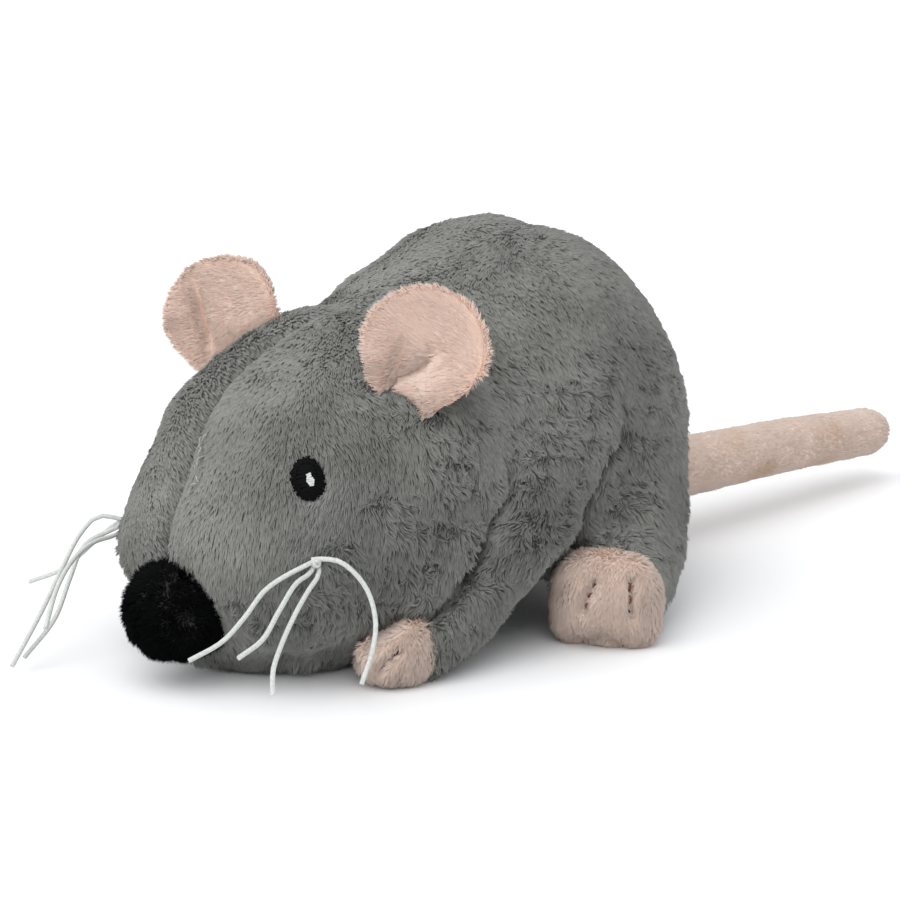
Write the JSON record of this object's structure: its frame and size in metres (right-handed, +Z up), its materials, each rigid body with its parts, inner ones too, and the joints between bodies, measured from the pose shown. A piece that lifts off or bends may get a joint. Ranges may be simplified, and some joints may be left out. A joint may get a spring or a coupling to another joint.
{
  "type": "plush toy mouse",
  "caption": "Stuffed plush mouse lying on its chin and paws, with round cupped ears, a ball nose, thread whiskers and a plain tail.",
  "frame": {"origin": "on the floor, under the middle of the mouse's length and width, whiskers left out", "axes": "+Z up, the mouse looks along -Y and its tail points along +Y, its left side is +X"},
  "size_m": [0.105, 0.2439, 0.0789],
  "materials": {
    "grey_plush": "short grey pile, matte",
    "pink_plush": "short pale pink pile, matte",
    "black_plush": "short black pile, matte",
    "eye_thread": "black embroidery thread with a pale glint",
    "whisker_thread": "off-white thread"
  },
  "bodies": {
    "root": {"head": "grey_plush", "trunk": "grey_plush", "foreleg_left": "grey_plush", "foreleg_right": "grey_plush", "forepaw_left": "pink_plush", "forepaw_right": "pink_plush", "hindleg_left": "grey_plush", "hindleg_right": "grey_plush", "hindpaw_left": "pink_plush", "hindpaw_right": "pink_plush", "nose": "black_plush", "eye_left": "eye_thread", "eye_right": "eye_thread", "ear_left": "pink_plush", "ear_right": "pink_plush", "tail": "pink_plush", "whisker_knot_left": "whisker_thread", "whisker_left_1": "whisker_thread", "whisker_left_2": "whisker_thread", "whisker_left_3": "whisker_thread", "whisker_left_4": "whisker_thread", "whisker_knot_right": "whisker_thread", "whisker_right_1": "whisker_thread", "whisker_right_2": "whisker_thread", "whisker_right_3": "whisker_thread", "whisker_right_4": "whisker_thread"}
  },
  "joints": []
}
